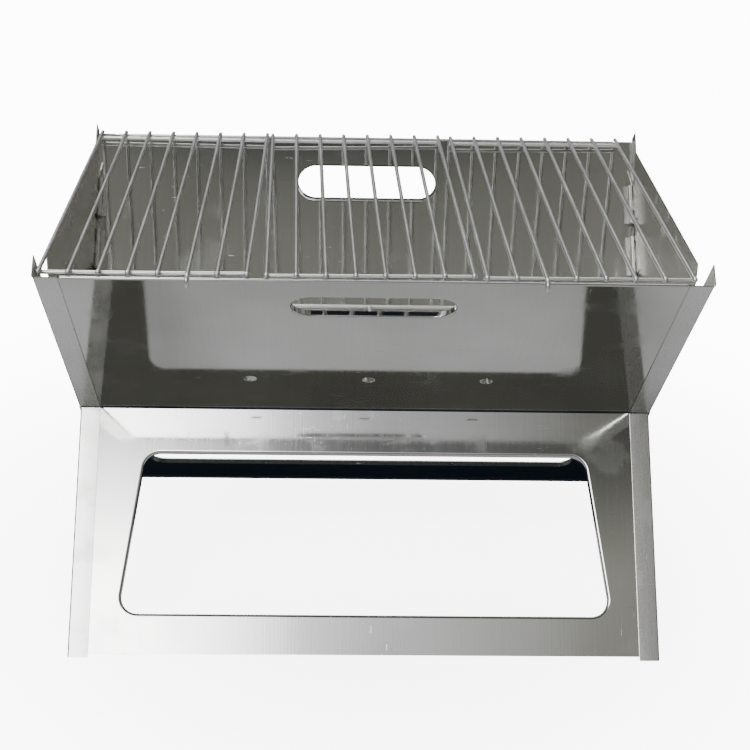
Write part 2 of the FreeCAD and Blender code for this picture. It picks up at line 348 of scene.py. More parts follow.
PANEL = Steel("panel_rolled", (0.68, 0.68, 0.66), (0.54, 0.54, 0.52), 0.06, (750.0, 14.0, 14.0),
              grain_rough=0.035, smudge=0.07, waviness=0.5)
RAIL = Steel("rail_satin", (0.74, 0.74, 0.72), (0.62, 0.62, 0.60), 0.27, (900.0, 24.0, 24.0), smudge=0.05,
             grain_bump=0.05)
PLATE = Steel("plate_rolled", (0.66, 0.65, 0.60), (0.50, 0.49, 0.45), 0.18, (20.0, 20.0, 700.0), waviness=0.5)
HINGE = Steel("hinge_rolled", (0.78, 0.77, 0.73), (0.56, 0.56, 0.53), 0.24, (500.0, 60.0, 60.0))
RIVET = Steel("rivet_turned", (0.74, 0.74, 0.73), (0.54, 0.54, 0.53), 0.30, (400.0, 400.0, 400.0))
GRID = Steel("grid_plated", (0.76, 0.76, 0.76), (0.60, 0.60, 0.60), 0.32, (900.0, 40.0, 900.0),
             grain_rough=0.05, grain_bump=0.06, smudge=0.05)
GRATE = Steel("grate_plated", (0.82, 0.82, 0.81), (0.64, 0.64, 0.63), 0.30, (40.0, 900.0, 900.0), smudge=0.08)
FINISHES = {Slot.PANEL: PANEL, Slot.RAIL: RAIL, Slot.PLATE: PLATE, Slot.HINGE: HINGE,
            Slot.RIVET: RIVET, Slot.GRID: GRID, Slot.GRATE: GRATE}


class Dresser:
    """Makes each finish once and assigns it."""

    def __init__(self) -> None:
        """Build every finish."""
        self.materials = {slot: finish.make() for slot, finish in FINISHES.items()}

    def dress(self, thing: bpy.types.Object, slot: Slot) -> None:
        """Give an object one slot's finish."""
        thing.data.materials.clear()
        thing.data.materials.append(self.materials[slot])

    def dress_frame(self) -> None:
        """Give every CAD node the finish of its own slot in the record."""
        for part in frame["record"]["subparts"]:
            node = frame["nodes"][part["node"]]
            material = self.materials[Slot(part["material_slot"])]
            for holder in node.material_slots:
                holder.material = material
            if not node.material_slots:
                node.data.materials.append(material)


# ---------------------------------------------------------------- surfaces

@dataclass
class Shell:
    """Grids of points gathered into one mesh."""

    points: list = field(default_factory=list)
    faces: list = field(default_factory=list)
    count: int = 0

    def grid(self, p: np.ndarray, wrap: bool = False) -> "Shell":
        """Add a grid of quads.

        Args:
            p: Points, rows by columns by 3.
            wrap: True where the last column joins the first.

        Returns:
            This shell.
        """
        rows, columns = p.shape[:2]
        index = np.arange(rows * columns).reshape(rows, columns) + self.count
        if wrap:
            index = np.concatenate([index, index[:, :1]], axis=1)
        quads = np.stack([index[:-1, :-1], index[:-1, 1:], index[1:, 1:], index[1:, :-1]], axis=-1)
        self.points.append(p.reshape(-1, 3))
        self.faces.extend(quads.reshape(-1, 4).tolist())
        self.count += rows * columns
        return self

    def prism(self, rings: np.ndarray) -> "Shell":
        """Add a closed section carried along a path, with flat ends."""
        start = self.count
        rows, columns = rings.shape[:2]
        self.grid(rings, wrap=True)
        self.faces.append(list(range(start, start + columns)))
        last = start + (rows - 1) * columns
        self.faces.append(list(range(last + columns - 1, last - 1, -1)))
        return self

    def piece(self, name: str, body: Body, slot: Slot, dresser: Dresser, stands_for: tuple,
              smooth_deg: float = 40.0) -> bpy.types.Object:
        """Turn the shell into a finished piece.

        Args:
            name: The piece's name.
            body: The body it rides on.
            slot: The finish it takes.
            dresser: The maker of finishes.
            stands_for: The CAD nodes it replaces.
            smooth_deg: Edges sharper than this stay sharp.

        Returns:
            The piece.
        """
        mesh = bpy.data.meshes.new(name)
        mesh.from_pydata(np.concatenate(self.points).tolist(), [], self.faces)
        work = bmesh.new()
        work.from_mesh(mesh)
        bmesh.ops.remove_doubles(work, verts=work.verts, dist=2e-6)
        bmesh.ops.recalc_face_normals(work, faces=work.faces)
        work.to_mesh(mesh)
        work.free()
        mesh.polygons.foreach_set("use_smooth", np.ones(len(mesh.polygons), dtype=bool))
        mesh.set_sharp_from_angle(angle=math.radians(smooth_deg))
        made = bpy.data.objects.new(name, mesh)
        bpy.context.scene.collection.objects.link(made)
        dresser.dress(made, slot)
        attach(made, body.value)
        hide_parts(*stands_for)
        log.info("%s: %d faces", name, len(mesh.polygons))
        return made


def tube(path: np.ndarray, radius: np.ndarray, side: np.ndarray, around: int = 20) -> np.ndarray:
    """Circles of varying radius set square to a path.

    Each point is the path's point plus radius times the cosine of the turn along one normal and its sine
    along the other.

    Args:
        path: Points along the wire's axis.
        radius: Radius at each point.
        side: A direction never parallel to the path.
        around: Points in each circle.

    Returns:
        Grid of points, path by turn by 3.
    """
    along = np.gradient(path, axis=0)
    along /= np.linalg.norm(along, axis=1, keepdims=True)
    first = np.cross(along, side)
    first /= np.linalg.norm(first, axis=1, keepdims=True)
    second = np.cross(along, first)
    turn = np.linspace(0.0, FULL_TURN, around, endpoint=False)
    ring = (np.cos(turn)[None, :, None] * first[:, None, :]
            + np.sin(turn)[None, :, None] * second[:, None, :])
    return path[:, None, :] + radius[:, None, None] * ring


def rounded_ends(length: float, radius: float, tip: float, steps: int = RUN_POINTS) -> tuple:
    """Stations along a wire whose ends are domes: near each end the radius follows a quarter circle.

    A swollen first end goes on round its circle, and narrows until it meets the plain wire.

    Args:
        length: The wire's overall length.
        radius: The wire's radius.
        tip: Radius of the swollen first end.
        steps: Stations along the plain middle.

    Returns:
        Stations and the radius at each.
    """
    a = np.linspace(0.0, QUARTER_TURN, DOME_POINTS)
    swell = np.linspace(QUARTER_TURN, math.pi * 0.82, 5)[1:]
    start = tip * (1.0 - np.cos(a))
    start_r = tip * np.sin(a)
    neck = tip * (1.0 - np.cos(swell))
    neck_r = np.maximum(tip * np.sin(swell), radius)
    end = length - radius * (1.0 - np.cos(a[::-1]))
    end_r = radius * np.sin(a[::-1])
    middle = np.linspace(neck[-1] + radius, end[0] - radius, steps)
    stations = np.concatenate([start, neck, middle, end])
    radii = np.concatenate([start_r, neck_r, np.full(steps, radius), end_r])
    return stations, radii


def weld(centre: np.ndarray, size: tuple) -> np.ndarray:
    """A weld bead as a small ellipsoid: latitude and longitude on a sphere, scaled on each axis.

    Args:
        centre: The bead's middle.
        size: Its half width on each axis.

    Returns:
        Grid of points, latitude by longitude by 3.
    """
    latitude = np.linspace(0.0, math.pi, DOME_POINTS)[:, None]
    longitude = np.linspace(0.0, FULL_TURN, 10, endpoint=False)[None, :]
    unit = np.stack([np.sin(latitude) * np.cos(longitude), np.sin(latitude) * np.sin(longitude),
                     np.cos(latitude) * np.ones_like(longitude)], axis=-1)
    return centre + unit * np.array(size)


# ---------------------------------------------------------------- frames of sheet

@dataclass(frozen=True)
class Leaned:
    """One folding frame's own coordinates: x across, s up the frame, w through it."""

    lean_deg: float

    def world(self, x: np.ndarray, s: np.ndarray, w: np.ndarray) -> np.ndarray:
        """Points in the row frame, turned about the pivot axis by the frame's lean.

        Args:
            x: Distance across the grill.
            s: Distance up the frame from the pivot axis.
            w: Distance through the frame from the pivot axis.

        Returns:
            The points, with a last axis of 3.
        """
        turn = math.radians(90.0 + self.lean_deg)
        x, s, w = np.broadcast_arrays(x, s, w)
        return np.stack([x, s * math.cos(turn) - w * math.sin(turn),
                         s * math.sin(turn) + w * math.cos(turn) + PIVOT_Z], axis=-1)

    def ground_s(self, w: np.ndarray) -> np.ndarray:
        """Where a line along the frame at depth w meets the ground."""
        turn = math.radians(90.0 + self.lean_deg)
        return (-PIVOT_Z - w * math.cos(turn)) / math.sin(turn)


def rounded_box(corners: np.ndarray, radius: float, grow: float, n: int) -> np.ndarray:
    """A convex outline with arcs at its corners, offset outwards by grow.

    Each corner's arc is centred where circles of the given radius touch both sides; points go round it
    evenly, and the straight runs between are divided evenly too.

    Args:
        corners: Corner points in order.
        radius: Corner radius before the offset.
        grow: Outward offset.
        n: Points per corner; the same number again is spread on each straight run.

    Returns:
        Outline points.
    """
    outline = []
    count = len(corners)
    for i in range(count):
        here, before, after = corners[i], corners[i - 1], corners[(i + 1) % count]
        a = (before - here) / np.linalg.norm(before - here)
        b = (after - here) / np.linalg.norm(after - here)
        half = math.acos(float(np.clip(a @ b, -1.0, 1.0))) / 2.0
        middle = (a + b) / np.linalg.norm(a + b)
        centre = here + middle * radius / math.sin(half)
        from_dir = (here + a * radius / math.tan(half) - centre) / radius
        to_dir = (here + b * radius / math.tan(half) - centre) / radius
        t = np.linspace(0.0, 1.0, n)[:, None]
        between = math.acos(float(np.clip(from_dir @ to_dir, -1.0, 1.0)))
        arc = (np.sin((1.0 - t) * between) * from_dir + np.sin(t * between) * to_dir) / math.sin(between)
        outline.append(centre + arc * (radius + grow))
    runs = []
    for i in range(count):
        runs.append(outline[i])
        step = np.linspace(0.0, 1.0, n + 2)[1:-1, None]
        runs.append(outline[i][-1] * (1.0 - step) + outline[(i + 1) % count][0] * step)
    return np.concatenate(runs)


def ring_to_box(ring: np.ndarray, x0: float, x1: float, s0: float, s1: float) -> np.ndarray:
    """Each ring point pushed straight out from the ring's own middle to the box's edge.

    The point nearest each of the box's corners is then moved onto it.

    Args:
        ring: Outline points.
        x0: The box's left.
        x1: The box's right.
        s0: The box's bottom.
        s1: The box's top.

    Returns:
        One point on the box's edge for each ring point.
    """
    middle = (ring.min(axis=0) + ring.max(axis=0)) / 2.0
    d = ring - middle
    room_x = np.where(d[:, 0] > 0.0, x1 - middle[0], middle[0] - x0)
    room_s = np.where(d[:, 1] > 0.0, s1 - middle[1], middle[1] - s0)
    away = np.maximum(np.abs(d), TINY)
    reach = np.minimum(room_x / away[:, 0], room_s / away[:, 1])
    edge = middle + d * reach[:, None]
    for corner in ((x0, s0), (x1, s0), (x1, s1), (x0, s1)):
        nearest = np.argmin(np.linalg.norm(edge - np.array(corner), axis=1))
        edge[nearest] = corner
    return edge


@dataclass(frozen=True)
class Opening:
    """An opening with a turned-in flange: its outline, and how deep and round the flange is."""

    corners: tuple
    radius: float
    depth: float
    bend: float = 1.4 * MM

    def outline(self, grow: float, n: int = 14) -> np.ndarray:
        """The opening's edge offset outwards."""
        return rounded_box(np.array(self.corners), self.radius, grow, n)


@dataclass
class Sheet:
    """A flat panel whose openings have rounded, turned-in rims."""

    name: str
    body: Body
    lean: Leaned
    side: float
    half: float
    low: float
    high: float
    openings: tuple
    cells: tuple
    vents: tuple = ()
    vent_radius: float = 4.8 * MM
    flat_ring: float = 0.5 * MM
    hem: bool = False
    hem_half: float = 207.7 * MM
    hem_w: float = 6.6 * MM

    def carry(self, shell: Shell, edge: np.ndarray, section: tuple,
              ring_at: Callable[[float], np.ndarray]) -> None:
        """Carry a section round an opening, between the cell's border on the outer and on the inner face.

        Args:
            shell: Where the grid goes.
            edge: Points on the cell's border.
            section: Pairs of an outward offset from the opening's edge and a depth through the frame.
            ring_at: Gives the opening's outline at an offset.
        """
        steps = [(edge, LIP_INNER_W), *((ring_at(grow), w) for grow, w in section), (edge, SHEET_INNER_W)]
        rows = [self.lean.world(p[:, 0], p[:, 1], np.full(len(p), self.side * w)) for p, w in steps]
        shell.grid(np.stack(rows), wrap=True)

    def cell(self, shell: Shell, opening: Opening, bounds: tuple) -> None:
        """One cell of sheet round an opening.

        The section goes by a flat ring on the outer face, over a quarter circle, down the flange, round its
        edge and back up the inside to a flat ring on the inner face.

        Args:
            shell: Where the grid goes.
            opening: The opening in this cell.
            bounds: The cell's x0, x1, s0, s1.
        """
        t, bend = SHEET_T, min(opening.bend, opening.depth)
        turn = np.linspace(0.0, QUARTER_TURN, DOME_POINTS)
        tip = SHEET_INNER_W - opening.depth
        bend_w, inner_bend = LIP_INNER_W - bend, bend - t
        outer = [(bend - bend * math.sin(a), bend_w + bend * math.cos(a)) for a in turn]
        inner = [(bend - inner_bend * math.sin(a), bend_w + inner_bend * math.cos(a)) for a in turn[::-1]]
        flat = bend + self.flat_ring
        section = ((flat, LIP_INNER_W), *outer, (0.0, tip), (t, tip), *inner, (flat, SHEET_INNER_W))
        self.carry(shell, ring_to_box(opening.outline(0.0), *bounds), section, opening.outline)

    def vent(self, shell: Shell, centre: tuple, bounds: tuple) -> None:
        """One cell of sheet round a punched hole, whose section has softened edges.

        Args:
            shell: Where the grid goes.
            centre: The hole's x and s.
            bounds: The cell's x0, x1, s0, s1.
        """
        turn = np.linspace(0.0, FULL_TURN, VENT_POINTS, endpoint=False)
        circle = np.stack([np.cos(turn), np.sin(turn)], axis=1)
        outer, inner = LIP_INNER_W, SHEET_INNER_W
        section = ((1.0 * MM, outer), (0.3 * MM, outer), (0.1 * MM, outer - 0.02 * MM),
                   (0.0, outer - 0.1 * MM), (0.0, inner + 0.1 * MM), (0.15 * MM, inner), (1.0 * MM, inner))

        def ring_at(grow: float) -> np.ndarray:
            """The hole's edge offset outwards."""
            return np.array(centre) + circle * (self.vent_radius + grow)

        self.carry(shell, ring_to_box(ring_at(0.0), *bounds), section, ring_at)

    def rim_strips(self, shell: Shell) -> None:
        """The sheet's four cut edges, from outer to inner face."""
        faces = np.array([LIP_INNER_W, SHEET_INNER_W]) * self.side
        for x in (-self.half, self.half):
            s = np.array([self.low, self.high])
            shell.grid(self.lean.world(np.full((2, 2), x), s[:, None], faces[None, :]))
        for s in (self.low, self.high):
            x = np.array([-self.half, self.half])
            shell.grid(self.lean.world(x[:, None], np.full((2, 2), s), faces[None, :]))

    def rolled_hem(self, shell: Shell) -> None:
        """The rim's rolled edge: a tube along x with domed ends."""
        stations, radii = rounded_ends(2.0 * self.hem_half, HEM_RADIUS, HEM_RADIUS, 40)
        count = len(stations)
        line = self.lean.world(stations - self.hem_half, np.full(count, RIM_S - HEM_RADIUS),
                               np.full(count, self.side * self.hem_w))
        shell.grid(tube(line, radii, ALONG_Z), wrap=True)

    def build(self, dresser: Dresser) -> None:
        """Make the panel and dress it."""
        shell = Shell()
        for opening, bounds in zip(self.openings, self.cells):
            self.cell(shell, opening, bounds)
        for centre, bounds in self.vents:
            self.vent(shell, centre, bounds)
        self.rim_strips(shell)
        if self.hem:
            self.rolled_hem(shell)
        shell.piece(self.name + "_sheet", self.body, Slot.PANEL, dresser, (self.name,), 35.0)


@dataclass
class Rail:
    """A folded side rail: a web, and a lip above and below the pivot on opposite sides."""

    name: str
    body: Body
    lean: Leaned
    hand: float
    web_x: float
    upper_side: float
    free_depth: float
    bend: float = 1.6 * MM

    def section(self, lip_side: float) -> np.ndarray:
        """The rail's section: down the web, round the bend, along the lip, and back inside.

        Args:
            lip_side: Which face of the frame the lip lies on.

        Returns:
            Outline points as x and w.
        """
        t, r = RAIL_T, self.bend
        turn = np.linspace(0.0, QUARTER_TURN, 9)
        reach, bend_w = self.web_x - LIP_EDGE_X, HALF_DEPTH - r
        outer = np.stack([r - r * np.cos(turn), bend_w + r * np.sin(turn)], axis=1)
        inner = np.stack([r - (r - t) * np.cos(turn), bend_w + (r - t) * np.sin(turn)], axis=1)
        loop = np.concatenate([
            [[0.0, -self.free_depth]], outer, [[reach, HALF_DEPTH], [reach, HALF_DEPTH - t]],
            inner[::-1], [[t, -self.free_depth]]])
        return np.stack([self.hand * (self.web_x - loop[:, 0]), lip_side * loop[:, 1]], axis=1)

    def run(self, shell: Shell, section: np.ndarray, start: np.ndarray, end: np.ndarray) -> None:
        """Carry a section along the frame.

        Args:
            shell: Where the prism goes.
            section: Outline points as x and w.
            start: Where along the frame each of its points starts.
            end: Where each ends.
        """
        t = np.linspace(0.0, 1.0, 30)[:, None]
        s = start[None, :] * (1.0 - t) + end[None, :] * t
        shell.prism(self.lean.world(section[None, :, 0], s, section[None, :, 1]))

    def web(self, shell: Shell, s0: float, s1: float, w0: float, w1: float) -> None:
        """A plain stretch of the web, from s0 to s1 along the frame and w0 to w1 through it."""
        x0, x1 = self.hand * self.web_x, self.hand * (self.web_x - RAIL_T)
        section = np.array([[x0, w0], [x0, w1], [x1, w1], [x1, w0]])
        self.run(shell, section, np.full(4, s0), np.full(4, s1))

    def build(self, dresser: Dresser) -> None:
        """Make the rail and dress it."""
        shell = Shell()
        upper = self.section(self.upper_side)
        lower = self.section(-self.upper_side)
        self.run(shell, upper, np.full(len(upper), WAIST_S), np.full(len(upper), RIM_S))
        self.run(shell, lower, self.lean.ground_s(lower[:, 1]), np.full(len(lower), -WAIST_S))
        self.web(shell, -WAIST_S, WAIST_S, -self.free_depth, self.free_depth)
        edges = sorted((-self.upper_side * self.free_depth, self.upper_side * HALF_DEPTH))
        self.web(shell, RIM_S, HORN_S, *edges)
        shell.piece(self.name + "_folded", self.body, Slot.RAIL, dresser, (self.name,), 30.0)


# ---------------------------------------------------------------- wire work

@dataclass
class GridSection:
    """One lift-off section of the cooking grid."""

    name: str
    body: Body
    first_x: float
    pitch: float
    skew_deg: float
    hook: int = -1
    bow: float = 0.0
    count: int = 8
    rod_r: float = 1.5 * MM
    tip_r: float = 1.9 * MM
    rod_z: float = 317.9 * MM
    front_y: float = -154.9 * MM
    rear_y: float = 157.5 * MM
    wires_y: tuple = (-148.5 * MM, 149.0 * MM)
    overhang: float = 2.0 * MM
    hook_bend: float = 4.6 * MM
    hook_y: float = -157.6 * MM
    hook_end_z: float = 311.6 * MM
    hook_gap: float = 2.0 * MM

    def turned(self, p: np.ndarray) -> np.ndarray:
        """Points turned in plan about the section's middle."""
        a = math.radians(self.skew_deg)
        x0 = self.first_x + self.pitch * (self.count - 1) / 2.0
        x, y = p[..., 0] - x0, p[..., 1]
        return np.stack([x0 + x * math.cos(a) - y * math.sin(a), x * math.sin(a) + y * math.cos(a),
                         p[..., 2]], axis=-1)

    def rod(self, x: float) -> np.ndarray:
        """A straight rod with a swollen, domed front tip."""
        length = self.rear_y - self.front_y + self.tip_r
        stations, radii = rounded_ends(length, self.rod_r, self.tip_r)
        y = self.front_y - self.tip_r + stations
        path = np.stack([np.full_like(y, x), y, np.full_like(y, self.rod_z)], axis=1)
        return self.turned(tube(path, radii, ALONG_X))

    def hooked(self, x: float) -> np.ndarray:
        """A rod that runs over the rim, bends down a quarter circle and ends in a dome."""
        r, bend = self.rod_r, self.hook_bend
        dome = np.linspace(0.0, QUARTER_TURN, DOME_POINTS)
        turn = np.linspace(0.0, QUARTER_TURN, BEND_POINTS)
        y = np.concatenate([np.full(DOME_POINTS, self.hook_y - bend),
                            self.hook_y - bend * np.cos(turn),
                            np.linspace(self.hook_y + self.hook_gap, self.rear_y - r, RUN_POINTS),
                            self.rear_y - r + r * np.sin(dome[1:])])
        z = np.concatenate([self.hook_end_z - r * np.cos(dome),
                            self.rod_z - bend + bend * np.sin(turn),
                            np.full(RUN_POINTS + DOME_POINTS - 1, self.rod_z)])
        radii = np.concatenate([r * np.sin(dome), np.full(BEND_POINTS + RUN_POINTS, r), r * np.cos(dome[1:])])
        path = np.stack([np.full_like(y, x), y, z], axis=1)
        return self.turned(tube(path, radii, ALONG_X))

    def wire(self, y: float, bow: float) -> np.ndarray:
        """A cross wire, lifting a little towards its right end as the square of the distance."""
        length = self.pitch * (self.count - 1) + 2.0 * self.overhang
        stations, radii = rounded_ends(length, self.rod_r, self.rod_r)
        x = self.first_x - self.overhang + stations
        z = self.rod_z - 2.0 * self.rod_r + bow * (stations / length) ** 2
        path = np.stack([x, np.full_like(x, y), z], axis=1)
        return self.turned(tube(path, radii, ALONG_Z))

    def welds(self, xs: list) -> list:
        """A flattened bead where each rod crosses each wire."""
        z = self.rod_z - self.rod_r
        spots = []
        for x in xs:
            for y in self.wires_y:
                centre = self.turned(np.array([x, y, z]))
                spots.append(weld(centre, CROSSING_BEAD))
        return spots

    def build(self, dresser: Dresser) -> None:
        """Make rods, cross wires and hook rod, each a piece of its own."""
        xs = [self.first_x + self.pitch * i for i in range(self.count)]
        rods = Shell()
        for i, x in enumerate(xs):
            if i != self.hook:
                rods.grid(self.rod(x), wrap=True)
        for spot in self.welds(xs):
            rods.grid(spot, wrap=True)
        prefix = "grid_" + self.name
        rods.piece(prefix + "_rods_drawn", self.body, Slot.GRID, dresser, (prefix + "_rods",))
        for place, y, bow in (("front", self.wires_y[0], self.bow), ("rear", self.wires_y[1], 0.0)):
            cad = f"{prefix}_{place}_wire"
            wire = Shell().grid(self.wire(y, bow), wrap=True)
            wire.piece(cad + "_drawn", self.body, Slot.GRID, dresser, (cad,))
        if self.hook >= 0:
            hook = Shell().grid(self.hooked(xs[self.hook]), wrap=True)
            hook.piece(prefix + "_hook_drawn", self.body, Slot.GRID, dresser, (prefix + "_hook_rod",))


@dataclass
class CharcoalGrate:
    """The wire grate that holds the charcoal."""

    x: float = 2.5 * MM
    z: float = 205.0 * MM
    half_x: float = 211.0 * MM
    half_y: float = 57.6 * MM
    frame_r: float = 1.75 * MM
    wire_r: float = 1.5 * MM
    bar_pitch: float = 19.2 * MM
    cross_pitch: float = 102.0 * MM
    end_bead: tuple = (1.9 * MM, 1.0 * MM, 1.7 * MM)

    def long_wire(self, y: float, z: float, radius: float) -> np.ndarray:
        """A wire across the grill with domed ends."""
        stations, radii = rounded_ends(2.0 * self.half_x, radius, radius)
        x = self.x - self.half_x + stations
        path = np.stack([x, np.full_like(x, y), np.full_like(x, z)], axis=1)
        return tube(path, radii, ALONG_Z)

    def cross_wire(self, x: float) -> np.ndarray:
        """A short wire between the front and rear wires."""
        half = self.half_y - self.frame_r
        stations, radii = rounded_ends(2.0 * half, self.wire_r, self.wire_r)
        path = np.stack([np.full_like(stations, x), stations - half, np.full_like(stations, self.z)], axis=1)
        return tube(path, radii, ALONG_X)

    def build(self, dresser: Dresser) -> None:
        """Make the grate's wires, with a weld at each crossing."""
        for place, y in (("front", -self.half_y), ("rear", self.half_y)):
            cad = f"grate_{place}_wire"
            wire = Shell().grid(self.long_wire(y, self.z, self.frame_r), wrap=True)
            wire.piece(cad + "_drawn", Body.GRATE, Slot.GRATE, dresser, (cad,))
        columns = [self.x + self.cross_pitch * i for i in range(-2, 3)]
        rows = [self.bar_pitch * i for i in range(-2, 3)]
        crosses = Shell()
        for x in columns:
            crosses.grid(self.cross_wire(x), wrap=True)
            for y in (-self.half_y + self.frame_r, self.half_y - self.frame_r):
                crosses.grid(weld(np.array([x, y, self.z]), self.end_bead), wrap=True)
        crosses.piece("grate_cross_wires_drawn", Body.GRATE, Slot.GRATE, dresser, ("grate_cross_wires",))
        bars = Shell()
        low = self.z - 2.0 * self.wire_r
        for y in rows:
            bars.grid(self.long_wire(y, low, self.wire_r), wrap=True)
            for x in columns:
                bars.grid(weld(np.array([x, y, self.z - self.wire_r]), CROSSING_BEAD), wrap=True)
        bars.piece("grate_bars_drawn", Body.GRATE, Slot.GRATE, dresser, ("grate_bars",))


@dataclass
class Pivot:
    """A riveted pivot: its head is a low dome, its tail a flat upset disc."""

    side: str
    hand: float
    radius: float = 5.0 * MM
    head_height: float = 1.5 * MM
    shank_radius: float = 2.5 * MM
    tail_radius: float = 4.0 * MM
    tail_height: float = 1.0 * MM
    tail_edge: float = 0.3 * MM
    tail_top_radius: float = 3.5 * MM
    outer_x: float = 225.05 * MM
    inner_x: float = 223.0 * MM
    around: int = 36

    def build(self, dresser: Dresser) -> None:
        """Turn the rivet's outline about the pivot axis."""
        turn = np.linspace(0.0, QUARTER_TURN, 9)
        head = [(self.outer_x + self.head_height * math.cos(a), self.radius * math.sin(a)) for a in turn]
        shank = [(self.outer_x, self.shank_radius), (self.inner_x, self.shank_radius)]
        end_x = self.inner_x - self.tail_height
        tail = [(self.inner_x, self.tail_radius), (end_x + self.tail_edge, self.tail_radius),
                (end_x, self.tail_top_radius), (end_x, 0.0)]
        outline = np.array(head + shank + tail)
        a = np.linspace(0.0, FULL_TURN, self.around, endpoint=False)
        x = np.repeat(self.hand * outline[:, :1], self.around, axis=1)
        y = outline[:, 1:] * np.cos(a)[None, :]
        z = outline[:, 1:] * np.sin(a)[None, :] + PIVOT_Z
        shell = Shell().grid(np.stack([x, y, z], axis=-1), wrap=True)
        cad = "pivot_rivet_" + self.side
        shell.piece(cad + "_upset", Body.REAR, Slot.RIVET, dresser, (cad,))


# ---------------------------------------------------------------- assemblies

@dataclass
class SheetFrames:
    """The four panels and four rails of the two folding frames."""

    front: Leaned = Leaned(LEAN_DEG)
    rear: Leaned = Leaned(-LEAN_DEG)
    outer_web_x: float = 225.0 * MM
    inner_web_x: float = 223.8 * MM
    inner_free_depth: float = 5.8 * MM
    outer_half: float = 224.2 * MM
    inner_half: float = 223.0 * MM
    leg_low: float = -197.8 * MM
    slot_low: float = 176.6 * MM
    slot_high: float = 205.9 * MM
    slot_half: float = 56.5 * MM
    vent_s: float = 65.4 * MM
    vent_pitch: float = 89.0 * MM
    slot_roundness: float = 0.999
    slot_flange: float = 4.0 * MM
    cell_split: float = 120.0 * MM
    cut_top: float = -42.6 * MM
    cut_top_half: float = 171.2 * MM
    cut_flare: float = 0.1312
    cut_radius: float = 13.0 * MM
    cut_flange: float = 4.5 * MM
    cut_bend: float = 1.8 * MM
    rear_cut_bottom: float = -145.7 * MM
    front_cut_bottom: float = -167.6 * MM

    def slot(self) -> Opening:
        """The handle slot, whose ends are a hair short of full half circles."""
        h, a, b = self.slot_half, self.slot_low, self.slot_high
        radius = (b - a) / 2.0 * self.slot_roundness
        return Opening(((-h, a), (h, a), (h, b), (-h, b)), radius, self.slot_flange)

    def cut_out(self, bottom: float) -> Opening:
        """The trapezium cut out of a leg panel, widening evenly down to its bottom edge."""
        top, half = self.cut_top, self.cut_top_half
        low = half + self.cut_flare * (top - bottom)
        outline = ((-low, bottom), (low, bottom), (half, top), (-half, top))
        return Opening(outline, self.cut_radius, self.cut_flange, self.cut_bend)

    def bowl(self, name: str, body: Body, lean: Leaned, side: float, half: float, dresser: Dresser) -> None:
        """A bowl panel: one cell round the slot above three round the vents.

        Args:
            name: The CAD node it replaces.
            body: The body it rides on.
            lean: The frame it lies in.
            side: Which face of the frame it lies on.
            half: Half its width.
            dresser: The maker of finishes.
        """
        rim, split = RIM_S - HEM_RADIUS, self.cell_split
        edges = (-half, -self.vent_pitch / 2.0, self.vent_pitch / 2.0, half)
        vents = tuple(((self.vent_pitch * (i - 1), self.vent_s), (edges[i], edges[i + 1], WAIST_S, split))
                      for i in range(3))
        Sheet(name, body, lean, side, half, WAIST_S, rim, (self.slot(),), ((-half, half, split, rim),),
              vents, hem=True).build(dresser)

    def leg(self, name: str, body: Body, lean: Leaned, side: float, half: float, bottom: float,
            dresser: Dresser) -> None:
        """A leg panel: one cell round its cut-out.

        Args:
            name: The CAD node it replaces.
            body: The body it rides on.
            lean: The frame it lies in.
            side: Which face of the frame it lies on.
            half: Half its width.
            bottom: The cut-out's bottom edge.
            dresser: The maker of finishes.
        """
        Sheet(name, body, lean, side, half, self.leg_low, -WAIST_S, (self.cut_out(bottom),),
              ((-half, half, self.leg_low, -WAIST_S),)).build(dresser)

    def build(self, dresser: Dresser) -> None:
        """Make every panel and rail."""
        self.bowl("front_bowl_panel", Body.FRONT, self.front, 1.0, self.outer_half, dresser)
        self.bowl("rear_bowl_panel", Body.REAR, self.rear, -1.0, self.inner_half, dresser)
        self.leg("rear_leg_panel", Body.FRONT, self.front, -1.0, self.outer_half,
                 self.rear_cut_bottom, dresser)
        self.leg("front_leg_panel", Body.REAR, self.rear, 1.0, self.inner_half,
                 self.front_cut_bottom, dresser)
        for side, hand in (("left", -1.0), ("right", 1.0)):
            outer = Rail("outer_rail_" + side, Body.FRONT, self.front, hand, self.outer_web_x, 1.0,
                         HALF_DEPTH)
            outer.build(dresser)
            inner = Rail("inner_rail_" + side, Body.REAR, self.rear, hand, self.inner_web_x, -1.0,
                         self.inner_free_depth)
            inner.build(dresser)
            Pivot(side, hand).build(dresser)


@dataclass
class WireWork:
    """The cooking grid's three sections and the charcoal grate."""

    def build(self, dresser: Dresser) -> None:
        """Make all the wire work."""
        sections = (GridSection("left", Body.GRID_LEFT, -220.5 * MM, 19.51 * MM, -0.34, hook=5, bow=0.9 * MM),
                    GridSection("middle", Body.GRID_MIDDLE, -75.25 * MM, 19.65 * MM, 1.21),
                    GridSection("right", Body.GRID_RIGHT, 71.65 * MM, 19.78 * MM, 0.80, hook=2))
        for section in sections:
            section.build(dresser)
        CharcoalGrate().build(dresser)


@dataclass(frozen=True)
class Softbox:
    """One rectangular area light, turned to face a point."""

    name: str
    place: tuple
    aim: tuple
    size: tuple
    power: float

    def build(self) -> None:
        """Put the light in the scene."""
        data = bpy.data.lights.new(self.name, "AREA")
        data.shape = "RECTANGLE"
        data.size, data.size_y = self.size
        data.energy = self.power
        made = bpy.data.objects.new(self.name, data)
        made.location = self.place
        d = np.array(self.aim) - np.array(self.place)
        flat = math.hypot(d[0], d[1])
        made.rotation_euler = (math.atan2(flat, -d[2]), 0.0, math.atan2(-d[0], d[1]))
        bpy.context.scene.collection.objects.link(made)


